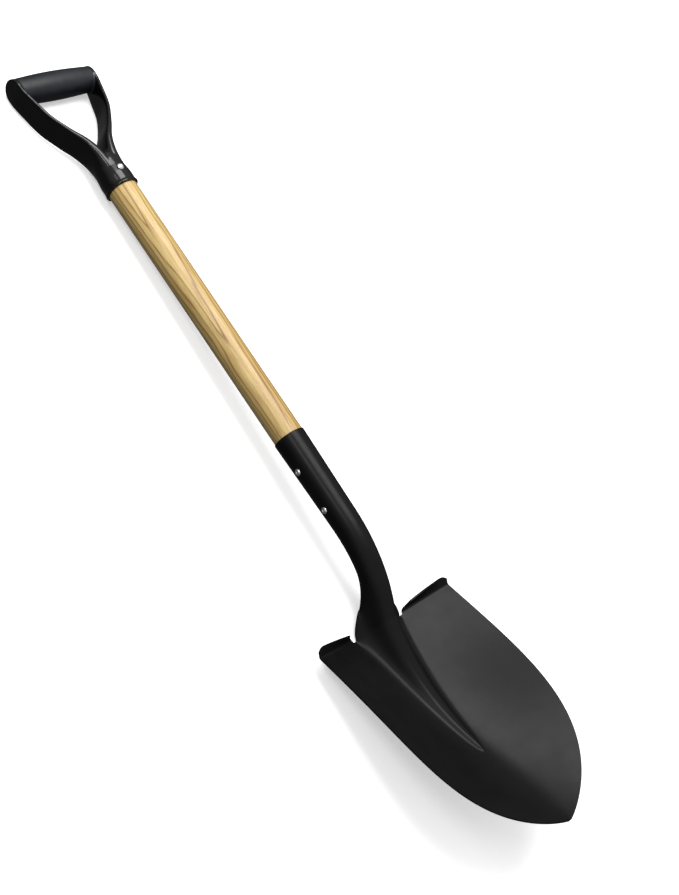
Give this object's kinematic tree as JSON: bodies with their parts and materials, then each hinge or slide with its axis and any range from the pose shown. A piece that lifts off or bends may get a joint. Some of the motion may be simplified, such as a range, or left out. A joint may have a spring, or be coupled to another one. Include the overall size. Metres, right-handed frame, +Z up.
{
  "type": "round point shovel",
  "caption": "Round point shovel with a dished steel blade, turned foot steps, rolled socket, straight wooden shaft and a moulded D grip.",
  "frame": {"origin": "middle of the bounding box on the surface the shovel lies on", "axes": "+Z up, the shovel lying on its back with the blade's hollow upwards; +Y from the blade's point to the grip; +X across the width"},
  "size_m": [0.2186, 1.0392, 0.1037],
  "materials": {
    "powder_coated_steel": "satin black powder coat",
    "lacquered_wood": "clear lacquer over pale straight-grained hardwood",
    "black_plastic": "glossy moulded black, finely textured on the crossbar",
    "zinc_steel": "bright zinc-plated steel"
  },
  "bodies": {
    "root": {"blade_and_socket": "powder_coated_steel", "shaft": "lacquered_wood", "d_grip": "black_plastic", "socket_rivet_upper": "zinc_steel", "socket_rivet_lower": "zinc_steel", "grip_rivet": "zinc_steel"}
  },
  "joints": []
}
